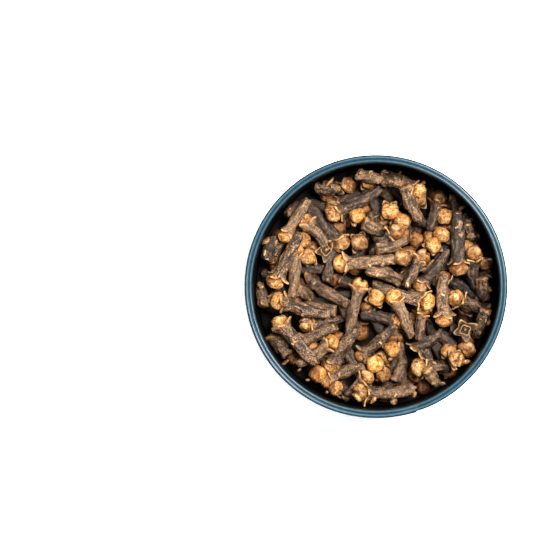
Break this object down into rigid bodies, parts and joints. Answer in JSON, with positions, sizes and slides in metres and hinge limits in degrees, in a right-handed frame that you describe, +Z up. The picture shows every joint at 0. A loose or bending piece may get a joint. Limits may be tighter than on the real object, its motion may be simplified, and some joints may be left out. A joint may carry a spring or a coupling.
{
  "type": "bowl of whole cloves",
  "caption": "Small round blue-grey steel bowl with a rolled rim and a black inside, filled with a loose heap of whole dried cloves.",
  "frame": {"origin": "middle of the bowl's foot, on the surface it stands on", "axes": "+Z up through the bowl's mouth; the rim's joint is near -Y, a little to +X"},
  "size_m": [0.067, 0.067, 0.032],
  "materials": {
    "bowl": "satin lacquer, black inside",
    "cloves": "dry and matt"
  },
  "bodies": {
    "root": {"bowl": "bowl", "cloves": "cloves"}
  },
  "joints": []
}
